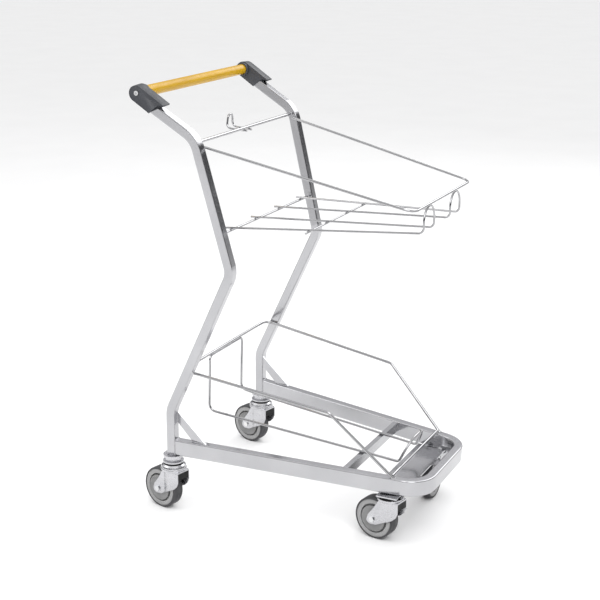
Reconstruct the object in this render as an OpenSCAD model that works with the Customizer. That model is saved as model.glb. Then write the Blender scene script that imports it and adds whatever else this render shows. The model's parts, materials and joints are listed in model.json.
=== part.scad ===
// Luggage trolley: a tapered tube base on four swivel casters, two bent uprights,
// a wire rack above, a wire rim below and a plastic-sleeved push handle.
// X points forwards, Y to the left, Z up, and the floor is at Z = 0.

/* [Frame] */
// Clear width between the uprights at the base
clear_width = 430; // [426:1:432]
// Length of the base, from the uprights' front faces to the front bar's outer face
base_length = 600; // [598:1:602]
// Height of the rectangular base tube
rail_height = 38; // [36:0.5:38]
// Width of the base tube and side of the upright tube
tube = 22; // [21:0.5:22]
// Wall thickness of both tubes
wall = 2; // [1.5:0.25:2.5]
// Bend radius of the two front corners, at the tube's centre
corner_r = 60; // [55:1:62]

/* [Handle] */
// Height of the handle's axis above the floor
handle_z = 999.7; // [999:0.1:1000]
// Outer diameter of the grip
grip_d = 25; // [22:0.5:25]

/* [Wires] */
// Upper rim wire
rim_d = 6; // [5:0.5:6]
// Rack wires
rack_d = 5; // [4:0.5:5]
// Lower rim wire and lower front bar
low_rim_d = 7; // [6:0.5:7]
// Top cross rod
top_rod_d = 8; // [7:0.5:8]

/* [Casters] */
// Wheel diameter
wheel_d = 100; // [98:1:100]
// Wheel width
wheel_w = 30; // [28:0.5:30]
// Swivel angle of the rear casters, as they stand
rear_swivel = -14; // [-25:1:0]
// Swivel angle of the front right caster
front_right_swivel = -11; // [-25:1:0]
// Swivel angle of the front left caster
front_left_swivel = 90; // [-25:1:90]

/* [Hidden] */
$fn = 48;

// Running clearance round a shaft, and clearance round a part that is held still
run_gap = 0.05;
fit_gap = 0.1;

// Uprights: centre line in side view, foot to handle, then the outward lean of the top part
upright_x = -264;
foot_z = 144.5;
knee = [upright_x, 256];
waist = [-100, 606];
neck = [-177, 906.5];
handle_fall = 31.5;
handle_run = 145;
upright_bends = [0, 60, 50, 60];
splay = 3;
splay_z = 624;
upright_y = (clear_width + tube) / 2;

// Base: the rails fall towards the front and close in
rail_start = upright_x + tube / 2;
rail_top = foot_z + rail_height;
rail_fall = 2.86;
taper = tan(8.64);
front_face = base_length / cos(rail_fall);
front_corner = [front_face - tube / 2, upright_y - taper * (front_face - tube / 2)];
gusset_t = 5;

// Handle axis and bracket
handle_x = -313.9;
bracket_out = 14.2;
bracket_in = 12.6;
bracket_r = 18.2;
core_d = 19;
grip_end = 229;
collar_end = 226;

// Upper rack
rack_rear = [-138, 699];
rack_front = [309, 720];
rack_fall = (rack_front[1] - rack_rear[1]) / (rack_front[0] - rack_rear[0]);
rim_front = [311, 182, 780];
rim_rear_z = 888;
top_rod = [-179.5, 896.6];

// Lower rim and hairpin
low_rim_rear = [-241, 353];
low_rim_bend = [123, 186, 300.5];
low_rim_foot = [267, 151.8, 157];
low_bar_x = 264;
hairpin_d = 6;

// Casters: stems, and what is stacked from the fork's crown up to the frame
rear_stem = [upright_x, upright_y];
front_stem = [261, 149];
trail = 35;
pin_r = 6;
crown_z = 103;
cup_z = 110;
head_z = 110.4;
cover_z = 120;
plate_z = 114;
plate_t = 3;
leg_y = 17.5;
leg_t = 2.5;
axle_r = 4;
hub_r = 8;

function unit(v) = v / norm(v);
function turn_of(u, v) = atan2(norm(cross(u, v)), u * v);
function flat(p) = [p[0], p[1], 0];
function half_inside(z) = clear_width / 2 + max(0, z - splay_z) * tan(splay);
function rail_z(x) = rail_top - (x - rail_start) * tan(rail_fall);
function rack_z(x) = rack_rear[1] + rack_fall * (x - rack_rear[0]);

// Straight run of a profile from a to b
module along(a, b) {
    dir = b - a;
    translate(a)
        rotate([0, acos(dir[2] / norm(dir)), atan2(dir[1], dir[0])])
            linear_extrude(norm(dir)) children();
}

// Bend of radius r in a profile, round the corner b of the path a, b, c
module bend(a, b, c, r) {
    u = unit(b - a);
    v = unit(c - b);
    angle = turn_of(u, v);
    side = unit(v - (u * v) * u);
    up = cross(-side, u);
    centre = b - u * r * tan(angle / 2) + side * r;
    multmatrix([for (i = [0:2]) [-side[i], u[i], up[i], centre[i]]])
        rotate_extrude(angle = angle, $fn = 96) translate([r, 0]) children();
}

// Sweeps a profile along a path with rounded corners. The profile's X lies across
// a flat path and its Y stands out of it. Straight runs lap a little into the bends,
// and thin is how much of its width the profile keeps in a bend.
module sweep(path, r, closed = false, thin = 0.995) {
    n = len(path);
    radii = is_list(r) ? r : [for (p = path) r];
    cuts = [for (i = [0:n - 1]) closed || (i > 0 && i < n - 1)
        ? radii[i] * tan(turn_of(path[i] - path[(i + n - 1) % n], path[(i + 1) % n] - path[i]) / 2)
        : 0];
    laps = [for (c = cuts) c > 0 ? c - 0.2 : 0];
    for (i = [0:closed ? n - 1 : n - 2]) {
        dir = unit(path[(i + 1) % n] - path[i]);
        along(path[i] + dir * laps[i], path[(i + 1) % n] - dir * laps[(i + 1) % n])
            rotate(90) children();
    }
    for (i = [0:n - 1])
        if (cuts[i] > 0)
            bend(path[(i + n - 1) % n], path[i], path[(i + 1) % n], radii[i])
                scale(thin) children();
}

// Round wire, which draws down slightly where it is bent
module wire(path, r, d, closed = false)
    sweep(path, r, closed, 0.985) circle(d = d, $fn = 24);

// Rectangle with rounded corners
module tube_section(w, h, r) {
    square([w - 2 * r, h], center = true);
    square([w, h - 2 * r], center = true);
    for (x = [-1, 1], y = [-1, 1])
        translate([x * (w / 2 - r), y * (h / 2 - r)]) circle(r, $fn = 24);
}

// Puts children into the frame of the sloping base, at the rails' rear top edge
module on_slope()
    translate([rail_start, 0, rail_top]) rotate([0, rail_fall, 0]) children();

// Turns a side view, X and Z, to stand up
module side_view() rotate([90, 0, 0]) children();

module mirrored(side) mirror([0, side < 0 ? 1 : 0, 0]) children();

/* Frame */

function base_path(over) = [
    [-over, upright_y + taper * over, 0], flat(front_corner),
    [front_corner[0], -front_corner[1], 0], [-over, -upright_y - taper * over, 0]
];

module base_frame() color("gainsboro")
    difference() {
        on_slope() translate([0, 0, -rail_height / 2])
            sweep(base_path(4), corner_r) tube_section(tube, rail_height, 3);
        on_slope() translate([0, 0, -rail_height / 2])
            sweep(base_path(6), corner_r)
                tube_section(tube - 2 * wall, rail_height - 2 * wall, 1);
        translate([rail_start - 50, -300, 0]) cube([50, 600, 400]);
    }

// Foot to just above the waist, in side view
function lower_path(over) = [
    [upright_x, foot_z - over, 0], flat(knee), flat(waist),
    flat(waist + unit(neck - waist) * (splay_z - waist[1] + 1))
];

// From the waist over the neck to the handle
function upper_path(over) = [
    flat(waist + unit(neck - waist) * (splay_z - waist[1] - 1)), flat(neck),
    flat(neck + [-cos(handle_fall), sin(handle_fall)] * (handle_run + over))
];

// The part above the waist leans outwards
module leaning()
    translate([0, upright_y, splay_z]) rotate([-splay, 0, 0]) translate([0, 0, -splay_z])
        children();

module upright_shape(size, r, over) {
    translate([0, upright_y, 0]) side_view()
        sweep(lower_path(over), upright_bends) tube_section(size, size, r);
    leaning() side_view() sweep(upper_path(over), 60) tube_section(size, size, r);
}

module upright(side) color("silver") mirrored(side)
    difference() {
        upright_shape(tube, 2.5, 0);
        upright_shape(tube - 2 * wall, 0.8, 2);
    }

module gusset(side) color("silver") mirrored(side)
    translate([0, clear_width / 2 + 6, 0]) side_view()
        linear_extrude(gusset_t) polygon([
            [rail_start, 250], [rail_start, 224],
            [rail_start + 40.5, rail_z(rail_start + 40.5)],
            [rail_start + 75, rail_z(rail_start + 75)]
        ]);

// Half the clear width of the base at a distance down the slope
function inside_at(x) = upright_y - taper * x - tube / 2 / cos(8.64);

module mid_crossmember() color("silver") on_slope()
    difference() {
        translate([0, 0, -25]) linear_extrude(24)
            polygon([[400, inside_at(400)], [412, inside_at(412)],
                     [412, -inside_at(412)], [400, -inside_at(400)]]);
        translate([401.5, -200, -23.5]) cube([9, 400, 21]);
    }

// Sheet between the rails, over the caster plates, with tabs to the front bar
module front_plate() {
    rear_x = 218;
    slot_x = 291;
    tab_end = 322.8;
    half = [
        [rear_x, inside_at(rear_x - rail_start) - 0.3],
        [slot_x, inside_at(slot_x - rail_start) - 1], [slot_x, 74], [tab_end, 74],
        [tab_end, 38], [slot_x, 38]
    ];
    color("silver") translate([0, 0, plate_z + plate_t])
        difference() {
            linear_extrude(plate_t)
                polygon([for (p = half) p, for (i = [5:-1:0]) [half[i][0], -half[i][1]]]);
            for (p = plate_holes(), s = [-1, 1]) translate([p[0], s * p[1], -1])
                cylinder(h = plate_t + 2, r = 3 + fit_gap);
        }
}

module top_cross_rod() color("silver")
    translate([top_rod[0], 0, top_rod[1]]) rotate([90, 0, 0])
        cylinder(h = 2 * half_inside(top_rod[1]) - 0.2, d = top_rod_d, center = true);

module bag_hook() color("silver")
    wire([[-173, -11, 889.9], [-225, -15, 893.5], [-223, -9, 924],
          [-223, 9, 924], [-225, 15, 893.5], [-173, 11, 889.9]],
         [0, 12, 8, 8, 12, 0], rack_d);

/* Wires */

module upper_rim_wire() {
    rear_y = half_inside(rim_rear_z) - rim_d / 2 - 0.2;
    color("silver")
        wire([[-171, rear_y, rim_rear_z], rim_front,
              [rim_front[0], -rim_front[1], rim_front[2]], [-171, -rear_y, rim_rear_z]],
             25, rim_d);
}

module upper_rear_crossbar() color("silver")
    translate([-125, 0, rack_z(-125) - (rack_d + rim_d) / 2 + 0.1]) rotate([90, 0, 0])
        cylinder(h = 2 * half_inside(694) - 0.3, d = rim_d, center = true);

module upper_mid_crossbar() color("silver")
    translate([54, 0, rack_z(54) - rack_d + 0.1]) rotate([90, 0, 0])
        cylinder(h = 334, d = rack_d, center = true);

// Long hairpin of the rack; its front end turns up under the rim
module upper_hairpin(side) {
    top = rim_front[2] - (rim_d + rack_d) / 2 + 0.1;
    color("silver") mirrored(side)
        wire([[rack_rear[0], 180, rack_rear[1]], [rack_front[0], 115, rack_front[1]],
              [rack_front[0], 115, top], [rack_front[0], 51.5, top],
              [rack_front[0], 51.5, rack_front[1]], [rack_rear[0], 60, rack_rear[1]]],
             [0, 12, 31, 31, 12, 0], rack_d);
}

module lower_rim_wire() {
    rear_y = clear_width / 2 - low_rim_d / 2 - 0.1;
    end = low_rim_foot + unit(low_rim_foot - low_rim_bend) * 8;
    rear = [low_rim_rear[0], rear_y, low_rim_rear[1]];
    left = [rear, low_rim_bend, end];
    color("silver")
        difference() {
            wire([for (p = [left[2], left[1], left[0]]) p, for (p = left) [p[0], -p[1], p[2]]],
                 [0, 15, 22, 22, 15, 0], low_rim_d);
            on_slope() translate([400, -200, -30]) cube([200, 400, 30]);
        }
}

module lower_front_bar() color("silver")
    translate([low_bar_x, 0, rail_z(low_bar_x) + low_rim_d / 2 - 0.1]) rotate([90, 0, 0])
        cylinder(h = 296, d = low_rim_d, center = true);

// Closed loop: down from the rim, forwards over the crossmember, up into an arch
module lower_hairpin() {
    half = [
        [-242, 82, low_rim_rear[1] - (low_rim_d + hairpin_d) / 2 + 0.1], [-246, 82, 206],
        [244, 56, 154.6], [267, 50, 207]
    ];
    color("silver")
        wire([for (p = half) p, for (i = [3:-1:0]) [half[i][0], -half[i][1], half[i][2]]],
             [12, 18, 10, 43, 43, 10, 18, 12], hairpin_d, closed = true);
}

/* Handle */

// Children lie along Y, round the handle's axis
module on_handle() translate([handle_x, 0, handle_z]) rotate([-90, 0, 0]) children();

module handle_core() color("silver") on_handle()
    difference() {
        cylinder(h = 500, d = core_d, center = true);
        cylinder(h = 502, d = core_d - 3, center = true);
    }

module handle_grip() color("goldenrod") on_handle()
    difference() {
        cylinder(h = 2 * grip_end, d = grip_d, center = true, $fn = 64);
        cylinder(h = 2 * grip_end + 2, d = core_d + 2 * fit_gap, center = true);
    }

// Bracket outline: a round head at the handle and a slanting mouth over the tube
module bracket_outline() {
    circle(bracket_r);
    polygon([[0, bracket_r], [70, 16.2], [71, 12.9], [60, 8], [52, -9], [47, -20.6], [42, -20.4],
             [0, -bracket_r]]);
}

module bracket_head()
    translate([handle_x, 0, handle_z + 0.5]) rotate([0, handle_fall, 0]) side_view() {
        translate([0, 0, -bracket_out]) linear_extrude(bracket_out + bracket_in) bracket_outline();
        translate([0, 0, -bracket_out - 0.8]) linear_extrude(1)
            difference() {
                bracket_outline();
                circle(bracket_r - 3);
                polygon([[0, bracket_r - 3], [61, 13.4], [49, -7], [44, -17.6], [0, 3 - bracket_r]]);
            }
    }

module handle_bracket(side) color("dimgray") mirrored(side)
    difference() {
        union() {
            leaning() bracket_head();
            on_handle() translate([0, 0, collar_end]) cylinder(h = 10, r = 16.5);
        }
        leaning() side_view()
            translate([0, 0, -tube / 2 - fit_gap]) linear_extrude(tube + 2 * fit_gap) {
                tube_slot = flat(neck) + [-cos(handle_fall), sin(handle_fall), 0] * (handle_run + 0.5);
                translate([tube_slot[0], tube_slot[1]]) rotate(-handle_fall)
                    translate([0, -tube / 2 - fit_gap]) square([90, tube + 2 * fit_gap]);
            }
        on_handle() cylinder(h = 251, d = core_d + 2 * fit_gap);
        on_handle() cylinder(h = grip_end + 1, d = grip_d + 0.6);
        on_handle() cylinder(h = 300, r = 2.6);
        on_handle() translate([0, 0, 258]) cylinder(h = 20, r = 6);
    }

module handle_screws() color("silver")
    for (s = [-1, 1]) mirrored(s) on_handle()
        difference() {
            union() {
                translate([0, 0, 236]) cylinder(h = 23, r = 2.5);
                translate([0, 0, 258]) cylinder(h = 3, r = 5.5);
            }
            for (turn = [0, 90]) rotate(turn) translate([-3, -0.6, 259.2]) cube([6, 1.2, 3]);
        }

module handle_plugs() color("white")
    for (s = [-1, 1]) mirrored(s) on_handle() translate([0, 0, 222])
        difference() {
            cylinder(h = 28, r = core_d / 2 - 1.6);
            translate([0, 0, -1]) cylinder(h = 30, r = 2.55);
        }

/* Fixed parts of the casters */

// Stem positions: rear left, rear right, front left, front right
stems = [rear_stem, [rear_stem[0], -rear_stem[1]], front_stem, [front_stem[0], -front_stem[1]]];
swivels = [rear_swivel, rear_swivel, front_left_swivel, front_right_swivel];

// Holes of the two bolts that hold each front caster, on the left side
function plate_holes() = [for (x = [-18, 18]) front_stem + [x, -21.5]];

module at_stems(list) for (k = list) translate([stems[k][0], stems[k][1], 0]) children();

// Ring from z0 up to z1, bored for the kingpin
module bored(z0, z1, r, sides = 64) translate([0, 0, z0])
    difference() {
        cylinder(h = z1 - z0, r = r, $fn = sides);
        translate([0, 0, -1]) cylinder(h = z1 - z0 + 2, r = pin_r + run_gap);
    }

module leg_inserts() color("silver") at_stems([0, 1]) {
    inside = tube - 2 * wall - 0.4;
    bored(138, foot_z - 1, 24);
    bored(foot_z - 1, foot_z, tube / 2 - 0.1);
    translate([0, 0, foot_z])
        difference() {
            translate([-inside / 2, -inside / 2, -0.5]) cube([inside, inside, 40]);
            translate([0, 0, -1]) cylinder(h = 42, r = pin_r + run_gap);
        }
}

module leg_nuts() color("silver") at_stems([0, 1]) {
    bored(125, 128, 25);
    bored(128, 138, 20, 6);
}

module caster_plates() color("silver") for (s = [-1, 1]) mirrored(s)
    translate([0, 0, plate_z])
        difference() {
            translate([front_stem[0] - 25, front_stem[1] - 29, 0]) cube([50, 54, plate_t]);
            translate([front_stem[0], front_stem[1], -1]) cylinder(h = 5, r = pin_r + run_gap);
            for (p = plate_holes()) translate([p[0], p[1], -1]) {
                cylinder(h = 5, r = 3 + fit_gap);
                cylinder(h = 2.6, r = 5.6);
            }
        }

module swivel_heads() color([0.1, 0.1, 0.1]) {
    at_stems([0, 1]) bored(cover_z, 125, 23);
    at_stems([2, 3]) bored(head_z, plate_z, 25);
}

// Domed covers over the rear ball races
module race_covers() color("silver") at_stems([0, 1])
    rotate_extrude($fn = 64) polygon([
        [pin_r + run_gap, head_z], [30, head_z], [30, 113], [28.6, 116.5],
        [24.5, cover_z], [pin_r + run_gap, cover_z]
    ]);

module plate_bolts() color("silver") for (s = [-1, 1]) mirrored(s)
    for (p = plate_holes()) translate([p[0], p[1], plate_z]) {
        cylinder(h = 1.5, r = 5.4);
        cylinder(h = 13, r = 3);
    }

module plate_nuts() color("silver") for (s = [-1, 1]) mirrored(s)
    for (p = plate_holes()) translate([p[0], p[1], plate_z + 2 * plate_t])
        difference() {
            cylinder(h = 5, r = 5.8, $fn = 6);
            translate([0, 0, -1]) cylinder(h = 7, r = 3 + run_gap);
        }

module kingpins() color("silver") {
    at_stems([0, 1, 2, 3]) translate([0, 0, 98.2]) cylinder(h = 4.5, r = 10);
    at_stems([0, 1]) translate([0, 0, 98.2]) cylinder(h = 56, r = pin_r);
    at_stems([2, 3]) translate([0, 0, 98.2]) cylinder(h = plate_z + plate_t - 98.3, r = pin_r);
}

// Ball race between the fork's cup and the head above it
module race_balls() color("silver") at_stems([0, 1, 2, 3])
    for (i = [0:15]) rotate(i * 22.5) translate([18, 0, 108.2]) sphere(r = 1.9, $fn = 16);

/* Swivelling parts: each in its caster's own frame, the wheel trailing towards -X */

module on_caster(k) translate([stems[k][0], stems[k][1], 0]) rotate(swivels[k]) children();

// Children lie along Y, round the wheel's axle
module on_axle(k)
    on_caster(k) translate([-trail, 0, wheel_d / 2]) rotate([-90, 0, 0]) children();

leg_outline = [
    [-14, 105], [-31, 80], [-47, 59], [-49, 44], [-42, 38.5], [-25, 38], [-7, 49],
    [17.5, 61], [28, 71], [32, 80], [32, 105]
];

module fork(k) color("silver") difference() {
    on_caster(k) {
        for (s = [-1, 1]) mirrored(s) translate([0, leg_y + leg_t, 0]) side_view()
            linear_extrude(leg_t) polygon(leg_outline);
        translate([-14, -leg_y - leg_t, crown_z]) cube([46, 2 * (leg_y + leg_t), 3]);
        translate([0, 0, crown_z])
            difference() {
                cylinder(h = cup_z - crown_z, r = 31, $fn = 64);
                translate([0, 0, 3]) cylinder(h = 10, r = 28.5, $fn = 64);
            }
    }
    on_caster(k) translate([0, 0, crown_z - 1]) cylinder(h = 9, r = pin_r + run_gap);
    on_axle(k) cylinder(h = 60, r = axle_r + fit_gap, center = true);
}

module toe_guard(k) color([0.08, 0.08, 0.08]) on_caster(k)
    translate([26, -leg_y + 0.1, 86]) cube([6, 2 * leg_y - 0.2, 16.9]);

module axle_bolt(k) color("silver") on_axle(k) {
    cylinder(h = 2 * (leg_y + leg_t) + 2, r = axle_r, center = true);
    translate([0, 0, -leg_y - leg_t - 4]) cylinder(h = 4, r = 7, $fn = 6);
    translate([0, 0, leg_y + leg_t]) cylinder(h = 4, r = 7, $fn = 6);
}

module thread_guards(k) color("darkgray") on_axle(k)
    for (s = [0, 180]) rotate([s, 0, 0]) translate([0, 0, wheel_w / 2 + 0.5])
        difference() {
            cylinder(h = 1.8, r = 31.5, $fn = 64);
            translate([0, 0, -1]) cylinder(h = 4, r = axle_r + fit_gap);
        }

/* Rolling parts */

module wheel_core(k) color("lightgray") on_axle(k)
    difference() {
        union() {
            cylinder(h = 8, r = 36, center = true, $fn = 64);
            cylinder(h = wheel_w - 3, r = hub_r + 4, center = true);
            difference() {
                cylinder(h = wheel_w - 1, r = 46, center = true, $fn = 96);
                cylinder(h = wheel_w + 1, r = 34, center = true, $fn = 64);
            }
        }
        cylinder(h = wheel_w + 1, r = hub_r, center = true);
    }

module tyre(k) color([0.25, 0.25, 0.26]) on_axle(k)
    rotate_extrude($fn = 96) polygon([
        [46, -wheel_w / 2], [47.5, -wheel_w / 2], [49.3, 1.2 - wheel_w / 2],
        [wheel_d / 2, 3.5 - wheel_w / 2], [wheel_d / 2, wheel_w / 2 - 3.5],
        [49.3, wheel_w / 2 - 1.2], [47.5, wheel_w / 2], [46, wheel_w / 2]
    ]);

module wheel_bearings(k) color("silver") on_axle(k)
    for (s = [0, 180]) rotate([s, 0, 0]) translate([0, 0, 3])
        difference() {
            cylinder(h = wheel_w / 2 - 3, r = hub_r);
            translate([0, 0, -1]) cylinder(h = wheel_w / 2, r = axle_r + run_gap);
        }

base_frame();
upright(1);  // upright_left
upright(-1);  // upright_right
gusset(1);  // gusset_left
gusset(-1);  // gusset_right
mid_crossmember();
front_plate();
top_cross_rod();
bag_hook();
upper_rim_wire();
upper_rear_crossbar();
upper_mid_crossbar();
upper_hairpin(1);  // upper_hairpin_left
upper_hairpin(-1);  // upper_hairpin_right
lower_rim_wire();
lower_front_bar();
lower_hairpin();
handle_core();
handle_grip();
handle_bracket(1);  // handle_bracket_left
handle_bracket(-1);  // handle_bracket_right
handle_screws();
handle_plugs();
leg_inserts();
leg_nuts();
caster_plates();
swivel_heads();
race_covers();
plate_bolts();
plate_nuts();
kingpins();
race_balls();
fork(0);  // fork_rear_left
fork(1);  // fork_rear_right
fork(2);  // fork_front_left
fork(3);  // fork_front_right
toe_guard(0);  // toe_guard_rear_left
toe_guard(1);  // toe_guard_rear_right
toe_guard(2);  // toe_guard_front_left
toe_guard(3);  // toe_guard_front_right
axle_bolt(0);  // axle_bolt_rear_left
axle_bolt(1);  // axle_bolt_rear_right
axle_bolt(2);  // axle_bolt_front_left
axle_bolt(3);  // axle_bolt_front_right
thread_guards(0);  // thread_guards_rear_left
thread_guards(1);  // thread_guards_rear_right
thread_guards(2);  // thread_guards_front_left
thread_guards(3);  // thread_guards_front_right
wheel_core(0);  // wheel_core_rear_left
wheel_core(1);  // wheel_core_rear_right
wheel_core(2);  // wheel_core_front_left
wheel_core(3);  // wheel_core_front_right
tyre(0);  // tyre_rear_left
tyre(1);  // tyre_rear_right
tyre(2);  // tyre_front_left
tyre(3);  // tyre_front_right
wheel_bearings(0);  // wheel_bearings_rear_left
wheel_bearings(1);  // wheel_bearings_rear_right
wheel_bearings(2);  // wheel_bearings_front_left
wheel_bearings(3);  // wheel_bearings_front_right
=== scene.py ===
"""Luggage trolley: materials, wheels, forks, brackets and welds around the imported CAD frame."""
import json
import math
import random

import bmesh
import bpy
from mathutils import Matrix, Vector


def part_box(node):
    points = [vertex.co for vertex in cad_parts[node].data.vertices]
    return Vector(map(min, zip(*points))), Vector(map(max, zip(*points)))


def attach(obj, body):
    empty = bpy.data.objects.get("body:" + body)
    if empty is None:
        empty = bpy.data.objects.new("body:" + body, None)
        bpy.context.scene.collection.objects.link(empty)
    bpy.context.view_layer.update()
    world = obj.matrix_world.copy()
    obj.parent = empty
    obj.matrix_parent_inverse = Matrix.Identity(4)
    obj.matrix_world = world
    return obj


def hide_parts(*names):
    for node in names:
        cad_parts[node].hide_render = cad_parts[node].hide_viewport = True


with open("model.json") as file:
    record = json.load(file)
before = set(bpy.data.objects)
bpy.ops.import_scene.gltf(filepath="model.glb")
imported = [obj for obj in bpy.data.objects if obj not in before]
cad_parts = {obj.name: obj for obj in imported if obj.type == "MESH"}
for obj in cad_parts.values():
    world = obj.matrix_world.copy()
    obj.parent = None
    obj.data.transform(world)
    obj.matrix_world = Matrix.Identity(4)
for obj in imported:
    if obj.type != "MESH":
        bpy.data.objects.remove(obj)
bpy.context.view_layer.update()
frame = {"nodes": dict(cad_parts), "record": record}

random.seed(7)
NODES = frame["nodes"]
JOINTS = {j["name"]: j for j in frame["record"]["behaviour"]["joints"]}
CASTERS = ("rear_left", "rear_right", "front_left", "front_right")
MM = 0.001
WHEEL_HALF = 15 * MM
LEG_INSIDE, LEG_OUTSIDE = 17.5 * MM, 20 * MM
SMOOTH_ANGLE, BEVEL_ANGLE = 35, 30


# Shader helpers

NOISE_LOW, NOISE_HIGH = 0.3, 0.7
NOISE_ROUGHNESS = 0.55


def new_material(name, metallic, roughness, specular=0.5):
    """A node material, its tree and its shader, with the plain values set on the shader."""
    material = bpy.data.materials.new(name)
    material.use_nodes = True
    shader = material.node_tree.nodes["Principled BSDF"]
    shader.inputs["Metallic"].default_value = metallic
    shader.inputs["Roughness"].default_value = roughness
    shader.inputs["Specular IOR Level"].default_value = specular
    return material, material.node_tree, shader


def noise(tree, scale, detail, stretch=(1, 1, 1)):
    """Noise in the part's own coordinates, in metres."""
    coords = tree.nodes.new("ShaderNodeTexCoord")
    mapping = tree.nodes.new("ShaderNodeMapping")
    mapping.inputs["Scale"].default_value = stretch
    texture = tree.nodes.new("ShaderNodeTexNoise")
    texture.inputs["Scale"].default_value = scale
    texture.inputs["Detail"].default_value = detail
    texture.inputs["Roughness"].default_value = NOISE_ROUGHNESS
    tree.links.new(coords.outputs["Object"], mapping.inputs["Vector"])
    tree.links.new(mapping.outputs["Vector"], texture.inputs["Vector"])
    return texture.outputs["Fac"]


def ramp(tree, value, stops):
    """Colour ramp of (position, colour) stops."""
    node = tree.nodes.new("ShaderNodeValToRGB")
    elements = node.color_ramp.elements
    while len(elements) < len(stops):
        elements.new(0.5)
    for element, (position, colour) in zip(elements, stops):
        element.position = position
        element.color = (*colour, 1)
    tree.links.new(value, node.inputs["Fac"])
    return node.outputs["Color"]


def two_shades(tree, value, dark, light):
    """Colour that goes from a dark to a light shade with the noise."""
    return ramp(tree, value, [(NOISE_LOW, dark), (NOISE_HIGH, light)])


def spread(tree, value, low, high):
    """Maps noise to a range of plain numbers."""
    node = tree.nodes.new("ShaderNodeMapRange")
    node.inputs["From Min"].default_value = NOISE_LOW
    node.inputs["From Max"].default_value = NOISE_HIGH
    node.inputs["To Min"].default_value = low
    node.inputs["To Max"].default_value = high
    tree.links.new(value, node.inputs["Value"])
    return node.outputs["Result"]


def bump(tree, shader, height, distance, under=None):
    """Adds relief of a depth in metres, over an earlier one if it is given."""
    node = tree.nodes.new("ShaderNodeBump")
    node.inputs["Distance"].default_value = distance
    tree.links.new(height, node.inputs["Height"])
    if under:
        tree.links.new(under, node.inputs["Normal"])
    tree.links.new(node.outputs["Normal"], shader.inputs["Normal"])
    return node.outputs["Normal"]


def plated(name, dark, light, roughness, grain):
    """Bright zinc or chrome plating: faint clouds, fine grain and slight waviness."""
    material, tree, shader = new_material(name, 1.0, roughness[0])
    clouds = noise(tree, scale=9, detail=4)
    tree.links.new(two_shades(tree, clouds, dark, light), shader.inputs["Base Color"])
    fine = noise(tree, scale=260, detail=3)
    tree.links.new(spread(tree, fine, *roughness), shader.inputs["Roughness"])
    relief = bump(tree, shader, fine, 0.00001 * grain)
    bump(tree, shader, noise(tree, scale=20, detail=2), 0.0002 * grain, under=relief)
    return material


def moulded(name, dark, light, roughness, grain_scale, grain_depth, specular=0.5):
    """Moulded plastic or rubber: close shades, fine grain and a little waviness."""
    material, tree, shader = new_material(name, 0.0, roughness[0], specular)
    clouds = noise(tree, scale=30, detail=5)
    tree.links.new(two_shades(tree, clouds, dark, light), shader.inputs["Base Color"])
    patches = noise(tree, scale=70, detail=3)
    tree.links.new(spread(tree, patches, *roughness), shader.inputs["Roughness"])
    relief = bump(tree, shader, noise(tree, grain_scale, detail=2), grain_depth)
    bump(tree, shader, noise(tree, scale=60, detail=2), 0.0002, under=relief)
    return material


def grip_material():
    """Yellow sleeve with faint lengthwise streaks and hand-polished patches."""
    material, tree, shader = new_material("grip_yellow", 0.0, 0.35, 0.3)
    streaks = noise(tree, scale=90, detail=4, stretch=(1, 0.08, 1))
    shades = [
        (0.25, (0.50, 0.28, 0.004)), (0.55, (0.59, 0.34, 0.006)), (0.8, (0.66, 0.40, 0.012))]
    tree.links.new(ramp(tree, streaks, shades), shader.inputs["Base Color"])
    polish = noise(tree, scale=18, detail=3)
    tree.links.new(spread(tree, polish, 0.26, 0.46), shader.inputs["Roughness"])
    relief = bump(tree, shader, noise(tree, scale=1500, detail=2), 0.00003)
    waves = noise(tree, scale=60, detail=2, stretch=(1, 0.2, 1))
    bump(tree, shader, waves, 0.0003, under=relief)
    shader.inputs["Coat Weight"].default_value = 0.05
    shader.inputs["Coat Roughness"].default_value = 0.3
    return material


# Each plating's dark shade, light shade, roughness range and amount of grain
PLATINGS = {
    "plated_tube": ((0.44, 0.44, 0.455), (0.50, 0.50, 0.515), (0.13, 0.21), 0.4),
    "plated_wire": ((0.38, 0.38, 0.39), (0.46, 0.46, 0.47), (0.06, 0.12), 0.3),
    "caster_steel": ((0.50, 0.50, 0.52), (0.60, 0.60, 0.62), (0.20, 0.32), 0.6),
    "fastener": ((0.60, 0.61, 0.62), (0.78, 0.78, 0.78), (0.14, 0.28), 0.5),
}
# Each moulding's dark shade, light shade, roughness range, grain scale and depth, and, where it
# isn't 0.5, its specular level
MOULDINGS = {
    "bracket_plastic": (
        (0.036, 0.038, 0.045), (0.052, 0.055, 0.064), (0.38, 0.50), 2600, 0.00006),
    "black_plastic": (
        (0.005, 0.005, 0.0055), (0.011, 0.011, 0.0115), (0.45, 0.60), 2200, 0.00004, 0.25),
    "plug_nylon": ((0.55, 0.55, 0.52), (0.65, 0.65, 0.62), (0.4, 0.5), 2000, 0.00003),
    "guard_plastic": ((0.19, 0.19, 0.19), (0.25, 0.25, 0.25), (0.42, 0.58), 2400, 0.00004),
    "core_plastic": ((0.30, 0.30, 0.30), (0.36, 0.36, 0.36), (0.40, 0.56), 2400, 0.00004),
    "tyre_rubber": (
        (0.050, 0.050, 0.054), (0.078, 0.078, 0.082), (0.55, 0.75), 1800, 0.00008, 0.35),
}
SLOTS = {"grip_yellow": grip_material()}
SLOTS.update({name: plated(name, *look) for name, look in PLATINGS.items()})
SLOTS.update({name: moulded(name, *look) for name, look in MOULDINGS.items()})


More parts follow.
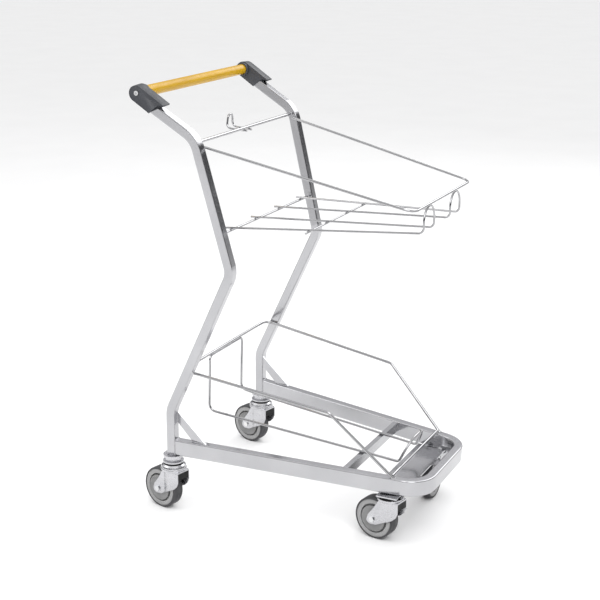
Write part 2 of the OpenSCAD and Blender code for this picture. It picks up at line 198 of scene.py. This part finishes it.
def weld_material():
    """Welds under the plating: duller and rougher than the tube."""
    material, tree, shader = new_material("weld", 1.0, 0.4)
    clouds = noise(tree, scale=300, detail=4)
    colour = two_shades(tree, clouds, (0.42, 0.42, 0.44), (0.62, 0.62, 0.63))
    tree.links.new(colour, shader.inputs["Base Color"])
    patches = noise(tree, scale=500, detail=3)
    tree.links.new(spread(tree, patches, 0.3, 0.55), shader.inputs["Roughness"])
    bump(tree, shader, noise(tree, scale=900, detail=3), 0.0002)
    return material


WELD = weld_material()


def finish_piece(mesh, name, slot, body, bevel=None, material=None, smooth_angle=SMOOTH_ANGLE):
    """Turns a bmesh into a shown piece that rides on a body, in its slot's material or another."""
    bmesh.ops.recalc_face_normals(mesh, faces=mesh.faces)
    data = bpy.data.meshes.new(name)
    mesh.to_mesh(data)
    mesh.free()
    piece = bpy.data.objects.new(name, data)
    bpy.context.scene.collection.objects.link(piece)
    data.materials.append(material or SLOTS[slot])
    data.shade_smooth()
    data.set_sharp_from_angle(angle=math.radians(smooth_angle))
    if bevel:
        soften(piece, bevel)
    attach(piece, body)
    return piece


def soften(piece, width):
    """Rounds a piece's sharp edges."""
    modifier = piece.modifiers.new("edges", "BEVEL")
    modifier.width = width
    modifier.segments = 3
    modifier.limit_method = "ANGLE"
    modifier.angle_limit = math.radians(BEVEL_ANGLE)
    piece.data.set_sharp_from_angle(angle=math.pi)


# Mesh helpers

BEAD_STEP = 0.45
BEAD_WIDTH, BEAD_RIPPLE, BEAD_JITTER = 0.86, 0.16, 0.05
RIPPLE_TURN = 1.5


def in_mm(points):
    """Points written in millimetres, as metres."""
    return [tuple(n * MM for n in point) for point in points]


def rounded_outline(corners, steps=6):
    """Outline of (x, y, radius) corners, each rounded by an arc."""
    points = []
    count = len(corners)
    for i, (x, y, radius) in enumerate(corners):
        here = Vector((x, y))
        before = Vector(corners[i - 1][:2]) - here
        after = Vector(corners[(i + 1) % count][:2]) - here
        if radius == 0:
            points.append(here)
            continue
        half = before.angle(after) / 2
        start = here + before.normalized() * radius / math.tan(half)
        end = here + after.normalized() * radius / math.tan(half)
        bisector = (before.normalized() + after.normalized()).normalized()
        centre = here + bisector * radius / math.sin(half)
        for k in range(steps + 1):
            spoke = (start - centre).lerp(end - centre, k / steps).normalized() * radius
            points.append(centre + spoke)
    return points


def add_slab(mesh, outline, low, high, place):
    """Closed slab of an XZ outline between two Y values, through a placing function."""
    near, far = [
        [mesh.verts.new(place(Vector((p.x, y, p.y)))) for p in outline] for y in (low, high)]
    for k in range(len(outline)):
        j = (k + 1) % len(outline)
        mesh.faces.new((near[k], near[j], far[j], far[k]))
    mesh.faces.new(near[::-1])
    mesh.faces.new(far)


def add_lathe(mesh, profile, place, steps=96):
    """Closed ring of a (radius, along) profile round the local Y axis."""
    rings = []
    for k in range(steps):
        angle = 2 * math.pi * k / steps
        rings.append([
            mesh.verts.new(place(Vector((r * math.cos(angle), y, r * math.sin(angle)))))
            for r, y in profile])
    count = len(profile)
    for k in range(steps):
        near, far = rings[k], rings[(k + 1) % steps]
        for i in range(count):
            j = (i + 1) % count
            mesh.faces.new((near[i], near[j], far[j], far[i]))


def add_bead(mesh, path, radius, closed=False, sides=10):
    """Weld bead along a path: a rope whose width ripples as the torch moved."""
    points = []
    loop = path + [path[0]] if closed else path
    for a, b in zip(loop, loop[1:]):
        pieces = max(2, int((b - a).length / (radius * BEAD_STEP)))
        points += [a.lerp(b, k / pieces) for k in range(pieces)]
    if not closed:
        points.append(loop[-1])
    rings = []
    count = len(points)
    for k, point in enumerate(points):
        ahead = points[(k + 1) % count] if closed or k < count - 1 else point
        behind = points[k - 1] if closed or k > 0 else point
        along = (ahead - behind).normalized()
        side = along.orthogonal().normalized() if not rings else (
            last_side - along * last_side.dot(along)).normalized()
        last_side = side
        up = along.cross(side)
        ripple = BEAD_RIPPLE * math.cos(k * RIPPLE_TURN)
        width = radius * (BEAD_WIDTH + ripple + random.uniform(-BEAD_JITTER, BEAD_JITTER))
        if not closed:
            width *= math.sqrt(max(0.12, 1 - (2 * k / (count - 1) - 1) ** 8))
        rings.append([
            mesh.verts.new(point + side * width * math.cos(2 * math.pi * i / sides)
                           + up * width * math.sin(2 * math.pi * i / sides))
            for i in range(sides)])
    for k in range(count if closed else count - 1):
        near, far = rings[k], rings[(k + 1) % count]
        for i in range(sides):
            j = (i + 1) % sides
            mesh.faces.new((near[i], near[j], far[j], far[i]))
    if not closed:
        mesh.faces.new(rings[0][::-1])
        mesh.faces.new(rings[-1])


def circle_path(centre, axis, radius, steps=20):
    """Points of a circle round an axis."""
    across = axis.orthogonal().normalized()
    up = axis.cross(across)
    turns = [2 * math.pi * k / steps for k in range(steps)]
    return [centre + across * radius * math.cos(t) + up * radius * math.sin(t) for t in turns]


def arc_profile(centre, radius, start, end, steps):
    """Points of an arc, in (radius, along) profile terms, angles in degrees."""
    angles = [math.radians(start + (end - start) * k / steps) for k in range(steps + 1)]
    return [(centre[0] + radius * math.cos(a), centre[1] + radius * math.sin(a)) for a in angles]


# Casters

TYRE_DEPTH, TYRE_SHOULDER = 4.4 * MM, 3.2 * MM
MOULD_LINE_HEIGHT, MOULD_LINE_FOOT = 0.12 * MM, 0.35 * MM
CORE_INSET = 0.6 * MM
GUARD_PROFILE = [
    (4.1, 15.5), (31.0, 15.5), (31.5, 15.9), (31.2, 16.5), (29.5, 16.8), (28.5, 16.5), (12, 16.7),
    (4.1, 17.3)
]
HUB_PROFILE = [
    (12, 4), (12, 13.1), (11.4, 13.5), (8.02, 13.5), (8.02, -13.5), (11.4, -13.5), (12, -13.1),
    (12, -4)
]
CUP_PROFILE = [
    (6.1, 103), (26, 103), (30, 104.2), (31, 106), (31, 109.6), (30.6, 110), (28.9, 110),
    (28.5, 109.6), (28.5, 107), (27.5, 106), (6.1, 106)
]
LEG_CORNERS = [
    (-12, 104, 0), (-17, 104, 3), (-31, 80, 12), (-46, 60, 10), (-50.5, 44, 8), (-41, 37.5, 7),
    (-25, 38.5, 10), (-12, 45.5, 0)
]
TOE_CORNERS = [
    (-12, 45.5, 0), (17.5, 60, 14), (27, 69, 10), (32, 80, 6), (32, 104, 0), (-12, 104, 0)]
CREASE_X = -12 * MM
FLARE = 0.045
CROWN_REAR, CROWN_FRONT, CROWN_CORNER = -14 * MM, 32 * MM, 3 * MM
CROWN_LOW, CROWN_HIGH = 102.8 * MM, 105.8 * MM


def caster_frames(name):
    """Placing matrices of a caster: its swivel frame on the floor and its axle frame."""
    stem = Vector(JOINTS["swivel_" + name]["pos_m"])
    axle = Vector(JOINTS["roll_" + name]["pos_m"])
    heading = math.atan2(stem.y - axle.y, stem.x - axle.x)
    turn = Matrix.Rotation(heading, 4, "Z")
    swivel = Matrix.Translation((stem.x, stem.y, 0)) @ turn
    return swivel, Matrix.Translation(axle) @ turn


def make_tyre(name, axle):
    """Rubber tyre with round shoulders and a fine mould line round the middle."""
    node = "tyre_" + name
    low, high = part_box(node)
    outer = (high.z - low.z) / 2
    inner = outer - TYRE_DEPTH
    line = outer + MOULD_LINE_HEIGHT
    bend = outer - TYRE_SHOULDER
    profile = [(inner, -WHEEL_HALF)]
    profile += arc_profile((bend, -WHEEL_HALF + TYRE_SHOULDER), TYRE_SHOULDER, -90, 0, 8)
    profile += [(outer, -MOULD_LINE_FOOT), (line, -MOULD_LINE_HEIGHT), (line, MOULD_LINE_HEIGHT),
                (outer, MOULD_LINE_FOOT)]
    profile += arc_profile((bend, WHEEL_HALF - TYRE_SHOULDER), TYRE_SHOULDER, 0, 90, 8)
    profile += [(inner, WHEEL_HALF)]
    mesh = bmesh.new()
    add_lathe(mesh, profile, lambda p: axle @ p, 128)
    piece = finish_piece(mesh, "tread_" + name, "tyre_rubber", "wheel_" + name)
    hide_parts(node)


def make_core(name, axle):
    """Moulded wheel centre: outer ring with a stepped lip, web and hub."""
    half = WHEEL_HALF - CORE_INSET
    profile = [
        (35 * MM, -4 * MM), (35 * MM, -half + 0.6 * MM), (35.6 * MM, -half),
        (44.2 * MM, -half), (44.7 * MM, -half + 0.5 * MM), (46 * MM, -half + 0.6 * MM),
        (46 * MM, half - 0.6 * MM), (44.7 * MM, half - 0.5 * MM), (44.2 * MM, half),
        (35.6 * MM, half), (35 * MM, half - 0.6 * MM), (35 * MM, 4 * MM)
    ]
    mesh = bmesh.new()
    add_lathe(mesh, profile + in_mm(HUB_PROFILE), lambda p: axle @ p, 96)
    piece = finish_piece(mesh, "rim_" + name, "core_plastic", "wheel_" + name)
    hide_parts("wheel_core_" + name)


def make_guards(name, axle):
    """Dished thread guards between the wheel and the fork."""
    mesh = bmesh.new()
    for side in (-1, 1):
        add_lathe(mesh, in_mm(GUARD_PROFILE),
                  lambda p, s=side: axle @ Vector((p.x, s * p.y, p.z)), 72)
    piece = finish_piece(mesh, "guards_" + name, "guard_plastic", "swivel_" + name)
    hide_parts("thread_guards_" + name)


def make_fork(name, swivel):
    """Pressed fork: two legs, each creased where its arm flares out, under a flanged crown."""
    mesh = bmesh.new()

    def on_leg(side):
        def place(p):
            outwards = max(0, CREASE_X - p.x) * FLARE
            return swivel @ Vector((p.x, side * (p.y + outwards), p.z))
        return place

    def upright(p):
        return swivel @ Vector((p.x, p.z, p.y))

    for corners in (LEG_CORNERS, TOE_CORNERS):
        outline = rounded_outline(in_mm(corners))
        for side in (-1, 1):
            add_slab(mesh, outline, LEG_INSIDE, LEG_OUTSIDE, on_leg(side))
    bmesh.ops.remove_doubles(mesh, verts=mesh.verts, dist=0.00001)
    crown = rounded_outline([
        (CROWN_REAR, -LEG_OUTSIDE, CROWN_CORNER), (CROWN_FRONT, -LEG_OUTSIDE, CROWN_CORNER),
        (CROWN_FRONT, LEG_OUTSIDE, CROWN_CORNER), (CROWN_REAR, LEG_OUTSIDE, CROWN_CORNER)])
    add_slab(mesh, crown, CROWN_LOW, CROWN_HIGH, upright)
    add_lathe(mesh, in_mm(CUP_PROFILE), upright, 72)
    piece = finish_piece(
        mesh, "pressed_fork_" + name, "caster_steel", "swivel_" + name, bevel=0.5 * MM)
    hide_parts("fork_" + name)


for caster in CASTERS:
    swivel_frame, axle_frame = caster_frames(caster)
    make_tyre(caster, axle_frame)
    make_core(caster, axle_frame)
    make_guards(caster, axle_frame)
    make_fork(caster, swivel_frame)


# Handle brackets

HANDLE_FALL = math.radians(31.5)
LEAN = math.radians(3)
BRACKET_CORNERS = [
    (-18.2, 18.2, 18.2), (-18.2, -18.2, 18.2), (42, -19.9, 4), (47, -20.6, 1.2), (51, -9, 12),
    (59, 10, 8), (71, 12.9, 1.0), (70, 16.2, 1.4)
]
BRACKET_INSIDE, BRACKET_OUTSIDE = -12.6 * MM, 15 * MM
RIM_WIDTH, STEP_WIDTH, STEP_DEPTH = 1.1 * MM, 0.3 * MM, -0.8 * MM
COLLAR_BORE, COLLAR_RADIUS, COLLAR_LENGTH = 12.9 * MM, 16.5 * MM, 9 * MM
SCREW_REACH = 15.3 * MM
HOLE_RADIUS, HOLE_DEPTH, HOLE_LENGTH = 6.4 * MM, 3 * MM, 20 * MM


def bracket_frame(side):
    """Placing matrix at the handle's axis: X down the tube, Y outwards, Z up from the tube."""
    core_low, core_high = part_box("handle_core")
    screw_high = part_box("handle_screws")[1]
    middle = (core_low + core_high) / 2
    return (Matrix.Translation((middle.x, side * (screw_high.y - SCREW_REACH), middle.z))
            @ Matrix.Rotation(-side * LEAN, 4, "X") @ Matrix.Rotation(HANDLE_FALL, 4, "Y"))


def cut(piece, cutter):
    """Takes the cutter's shape out of a piece and removes the cutter."""
    modifier = piece.modifiers.new("hole", "BOOLEAN")
    modifier.operation = "DIFFERENCE"
    modifier.object = cutter
    modifier.solver = "EXACT"
    bpy.context.view_layer.update()
    graph = bpy.context.evaluated_depsgraph_get()
    mesh = bpy.data.meshes.new_from_object(piece.evaluated_get(graph))
    piece.modifiers.clear()
    piece.data = mesh
    bpy.data.objects.remove(cutter)


def add_collar(mesh, axis, side):
    """Collar with a rounded lip, round the end of the grip."""
    start = abs(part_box("handle_bracket_left")[0].y)
    collar = [
        (COLLAR_BORE, start + 0.3 * MM), (13.2 * MM, start), (15.6 * MM, start),
        (COLLAR_RADIUS, start + 0.9 * MM), (COLLAR_RADIUS, start + COLLAR_LENGTH),
        (COLLAR_BORE, start + COLLAR_LENGTH)
    ]
    add_lathe(mesh, collar, lambda p: axis + Vector((p.x, side * p.y, p.z)), 64)


def screw_hole(axis, side, turns=48):
    """Cylinder that cuts the recess of a handle screw."""
    hole = bmesh.new()
    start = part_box("handle_screws")[1].y - HOLE_DEPTH
    caps = []
    for y in (start, start + HOLE_LENGTH):
        caps.append([hole.verts.new(axis + Vector((
            HOLE_RADIUS * math.cos(2 * math.pi * k / turns), side * y,
            HOLE_RADIUS * math.sin(2 * math.pi * k / turns)))) for k in range(turns)])
    for k in range(turns):
        j = (k + 1) % turns
        hole.faces.new((caps[0][k], caps[0][j], caps[1][j], caps[1][k]))
    hole.faces.new(caps[0])
    hole.faces.new(caps[1])
    bmesh.ops.recalc_face_normals(hole, faces=hole.faces)
    data = bpy.data.meshes.new("hole")
    hole.to_mesh(data)
    hole.free()
    cutter = bpy.data.objects.new("hole", data)
    bpy.context.scene.collection.objects.link(cutter)
    return cutter


def make_bracket(name, side):
    """Plastic bracket: a round head over the grip's end, a raised rim and an S-shaped mouth."""
    place = bracket_frame(side)
    outline = rounded_outline(in_mm(BRACKET_CORNERS), 8)
    mesh = bmesh.new()
    add_slab(mesh, outline, BRACKET_INSIDE, BRACKET_OUTSIDE, lambda p: p)
    bmesh.ops.recalc_face_normals(mesh, faces=mesh.faces)
    outer = max(mesh.faces, key=lambda f: f.calc_center_median().y)
    bmesh.ops.inset_region(mesh, faces=[outer], thickness=RIM_WIDTH)
    bmesh.ops.inset_region(mesh, faces=[outer], thickness=STEP_WIDTH, depth=STEP_DEPTH)
    mesh.transform(place @ Matrix.Scale(side, 4, (0, 1, 0)))
    axis = Vector((place.translation.x, 0, place.translation.z))
    add_collar(mesh, axis, side)
    piece = finish_piece(mesh, "bracket_" + name, "bracket_plastic", "frame")
    cut(piece, screw_hole(axis, side))
    soften(piece, 0.9 * MM)
    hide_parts("handle_bracket_" + name)


for bracket_side, bracket_name in ((1, "left"), (-1, "right")):
    make_bracket(bracket_name, bracket_side)


# Welds

TUBE_BEAD, WIRE_BEAD, FINE_BEAD = 1.3 * MM, 1.2 * MM, 1.1 * MM
OUTER_WIRE_FRONT, INNER_WIRE_REAR, INNER_WIRE_FRONT = 115 * MM, 60 * MM, 51.5 * MM


def middle(node):
    """Middle of a CAD node's box."""
    low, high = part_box(node)
    return (low + high) / 2


def weld_rod_ends(mesh, node, radius):
    """Bead round each end of a cross rod, where it meets the uprights or rails."""
    low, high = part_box(node)
    centre = middle(node)
    for side, y in ((1, high.y), (-1, low.y)):
        end = Vector((centre.x, y - side * 0.4 * MM, centre.z))
        ring = circle_path(end, Vector((0, 1, 0)), radius)
        add_bead(mesh, ring, TUBE_BEAD, closed=True)


def weld_uprights(mesh):
    """Rails to uprights, and the gussets' edges."""
    frame_low, frame_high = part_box("base_frame")
    for side, name in ((1, "left"), (-1, "right")):
        foot_low, foot_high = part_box("upright_" + name)
        inner = min(abs(foot_low.y), abs(foot_high.y))
        outer = inner + 22.2 * MM
        x = frame_low.x + 0.3 * MM
        low = frame_high.z - 37.4 * MM
        high = frame_high.z - 0.2 * MM
        corners = [(inner, low), (inner, high), (outer, high), (outer, low)]
        add_bead(mesh, [Vector((x, side * y, z)) for y, z in corners], TUBE_BEAD, closed=True)
        gusset_low, gusset_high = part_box("gusset_" + name)
        faces = sorted((abs(gusset_low.y), abs(gusset_high.y)))
        for y in faces:
            rear = gusset_low.x + 0.2 * MM
            add_bead(mesh, [Vector((rear, side * y, gusset_high.z)),
                            Vector((rear, side * y, gusset_high.z - 25 * MM))], WIRE_BEAD)
            add_bead(mesh, [Vector((gusset_high.x - 34 * MM, side * y, gusset_low.z + 1.9 * MM)),
                            Vector((gusset_high.x, side * y, gusset_low.z + 0.2 * MM))], WIRE_BEAD)


def weld_crossmember(mesh):
    """Upright beads down both edges of each end of the crossmember, and one along its top."""
    low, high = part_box("mid_crossmember")
    for side in (-1, 1):
        rear = Vector((low.x + 0.8 * MM, side * (high.y - 0.6 * MM), high.z - 1 * MM))
        front = Vector((high.x - 0.8 * MM, side * (high.y - 2.4 * MM), high.z - 1.4 * MM))
        drop = Vector((0, 0, -22 * MM))
        add_bead(mesh, [rear + drop, rear, front, front + drop], TUBE_BEAD)


def weld_crossing(mesh, crossbar, y):
    """Two short beads where a rack wire lies over a crossbar."""
    low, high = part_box(crossbar)
    top = Vector(((low.x + high.x) / 2, y, high.z - 0.6 * MM))
    for sign in (-1, 1):
        offset = Vector((0, sign * 2.4 * MM, 0))
        reach = Vector((2.6 * MM, 0, 0))
        add_bead(mesh, [top + offset - reach, top + offset + reach], FINE_BEAD)


def rack_wire_y(x, at_rear, at_front):
    """Where a rack wire, which closes in towards the front, passes a crossbar."""
    low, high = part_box("upper_hairpin_left")
    share = (x - low.x) / (high.x - low.x)
    return at_rear + (at_front - at_rear) * share


def weld_rack(mesh):
    """Rack wires to the two crossbars, and the arches to the rim."""
    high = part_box("upper_hairpin_left")[1]
    runs = ((high.y - 2.5 * MM, OUTER_WIRE_FRONT), (INNER_WIRE_REAR, INNER_WIRE_FRONT))
    for crossbar in ("upper_rear_crossbar", "upper_mid_crossbar"):
        for at_rear, at_front in runs:
            y = rack_wire_y(middle(crossbar).x, at_rear, at_front)
            for side in (-1, 1):
                weld_crossing(mesh, crossbar, side * y)
    rim_low, rim_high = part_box("upper_rim_wire")
    arch_y = (OUTER_WIRE_FRONT + INNER_WIRE_FRONT) / 2
    for side in (-1, 1):
        for shift in (-1, 1):
            x = high.x - 2.5 * MM + shift * 2.2 * MM
            path = [Vector((x, side * arch_y + dy * MM, high.z)) for dy in (-5, 5)]
            add_bead(mesh, path, WIRE_BEAD)
    for side in (-1, 1):
        rim_end = Vector((rim_low.x + 4 * MM, side * (rim_high.y - 3 * MM), rim_high.z - 4 * MM))
        ring = circle_path(rim_end, Vector((1, 0, 0)), 3 * MM)
        add_bead(mesh, ring, WIRE_BEAD, closed=True)


def weld_lower_wires(mesh):
    """Lower rim's feet and the front bar on the rails, and the hairpin."""
    bar_low, bar_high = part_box("lower_front_bar")
    rim_low, rim_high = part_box("lower_rim_wire")
    for side in (-1, 1):
        for x in (bar_low.x + 0.6 * MM, bar_high.x - 0.6 * MM):
            path = [Vector((x, side * (bar_high.y - 16 * MM), bar_low.z + 0.5 * MM)),
                    Vector((x, side * (bar_high.y - 1 * MM), bar_low.z + 0.5 * MM))]
            add_bead(mesh, path, WIRE_BEAD)
        foot = Vector((rim_high.x - 4.2 * MM, side * (bar_high.y + 4 * MM), rim_low.z + 0.6 * MM))
        add_bead(mesh, circle_path(foot, Vector((0, 0, 1)), 4 * MM), WIRE_BEAD, closed=True)
    loop_low, loop_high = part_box("lower_hairpin")
    for side in (-1, 1):
        for x in (loop_low.x + 0.8 * MM, loop_low.x + 7.6 * MM):
            path = [Vector((x, side * 34 * MM, loop_high.z - 0.2 * MM)),
                    Vector((x, side * 46 * MM, loop_high.z - 0.2 * MM))]
            add_bead(mesh, path, FINE_BEAD)


def make_welds():
    """Every weld bead of the frame, as one piece."""
    mesh = bmesh.new()
    weld_rod_ends(mesh, "top_cross_rod", 4.2 * MM)
    weld_rod_ends(mesh, "upper_rear_crossbar", 3.2 * MM)
    weld_uprights(mesh)
    weld_crossmember(mesh)
    weld_rack(mesh)
    weld_lower_wires(mesh)
    finish_piece(mesh, "weld_beads", "plated_tube", "frame", material=WELD, smooth_angle=60)


make_welds()


# Camera, light and floor

CAMERA_PLACE = (1.2491, -2.6695, 1.391)
CAMERA_HEADING, CAMERA_FALL = math.radians(116.452), math.radians(16.551)
CAMERA_LENS, CAMERA_SHIFT = 78.08, (0.0247, -0.0112)
FLOOR_SIZE, LIGHT_SIZE, WORLD_STRENGTH = 80, 2.4, 0.95
LIT_POINT = Vector((0, 0, 0.5))
# Each light's place and power
LIGHTS = {
    "key": ((1.8, -2.2, 3.2), 60),
    "fill": ((-2.6, -1.6, 2.2), 30),
    "back": ((0.6, 3.0, 2.8), 45),
}
# A darker band a little above the horizon gives bright metal something to reflect
SKY = [
    (0.0, (1.0, 1.0, 1.0)), (0.495, (1.0, 1.0, 1.0)), (0.51, (0.10, 0.10, 0.105)),
    (0.64, (0.14, 0.14, 0.145)), (0.70, (0.80, 0.80, 0.82)), (0.80, (1.15, 1.15, 1.15))
]


def make_camera():
    """The photograph's viewing angle: from the front right, looking a little down."""
    level = math.cos(CAMERA_FALL)
    forward = Vector((math.cos(CAMERA_HEADING) * level, math.sin(CAMERA_HEADING) * level,
                      -math.sin(CAMERA_FALL)))
    data = bpy.data.cameras.new("camera")
    camera = bpy.data.objects.new("camera", data)
    bpy.context.scene.collection.objects.link(camera)
    camera.location = CAMERA_PLACE
    camera.rotation_euler = forward.to_track_quat("-Z", "Y").to_euler()
    data.sensor_width = 36
    data.lens = CAMERA_LENS
    data.shift_x, data.shift_y = CAMERA_SHIFT
    bpy.context.scene.camera = camera


def make_floor():
    """Plain pale floor."""
    mesh = bmesh.new()
    bmesh.ops.create_grid(mesh, x_segments=2, y_segments=2, size=FLOOR_SIZE)
    data = bpy.data.meshes.new("floor")
    mesh.to_mesh(data)
    mesh.free()
    floor = bpy.data.objects.new("floor", data)
    bpy.context.scene.collection.objects.link(floor)
    material, tree, shader = new_material("floor", 0.0, 0.7, 0.2)
    clouds = noise(tree, scale=3, detail=2)
    colour = two_shades(tree, clouds, (0.93, 0.93, 0.93), (0.95, 0.95, 0.95))
    tree.links.new(colour, shader.inputs["Base Color"])
    data.materials.append(material)


def make_light(name, location, power):
    """Soft square light aimed at the middle of the trolley."""
    data = bpy.data.lights.new(name, "AREA")
    data.size = LIGHT_SIZE
    data.energy = power
    light = bpy.data.objects.new(name, data)
    light.location = location
    aim = LIT_POINT - Vector(location)
    light.rotation_euler = aim.to_track_quat("-Z", "Y").to_euler()
    bpy.context.scene.collection.objects.link(light)


def make_world():
    """White studio with the darker band."""
    world = bpy.data.worlds.new("studio")
    bpy.context.scene.world = world
    world.use_nodes = True
    tree = world.node_tree
    coords = tree.nodes.new("ShaderNodeTexCoord")
    split = tree.nodes.new("ShaderNodeSeparateXYZ")
    tree.links.new(coords.outputs["Generated"], split.inputs["Vector"])
    sky = ramp(tree, spread_height(tree, split.outputs["Z"]), SKY)
    background = tree.nodes["Background"]
    tree.links.new(sky, background.inputs["Color"])
    background.inputs["Strength"].default_value = WORLD_STRENGTH


def spread_height(tree, height):
    """Height of a direction, from straight down at 0 to straight up at 1."""
    node = tree.nodes.new("ShaderNodeMapRange")
    node.inputs["From Min"].default_value = -1
    node.inputs["From Max"].default_value = 1
    tree.links.new(height, node.inputs["Value"])
    return node.outputs["Result"]


bpy.context.scene.view_settings.view_transform = "Standard"
make_camera()
make_floor()
make_world()
for light_name, (light_place, light_power) in LIGHTS.items():
    make_light(light_name, light_place, light_power)

for entry in frame["record"]["subparts"]:
    node_materials = NODES[entry["node"]].data.materials
    node_materials.clear()
    node_materials.append(SLOTS[entry["material_slot"]])
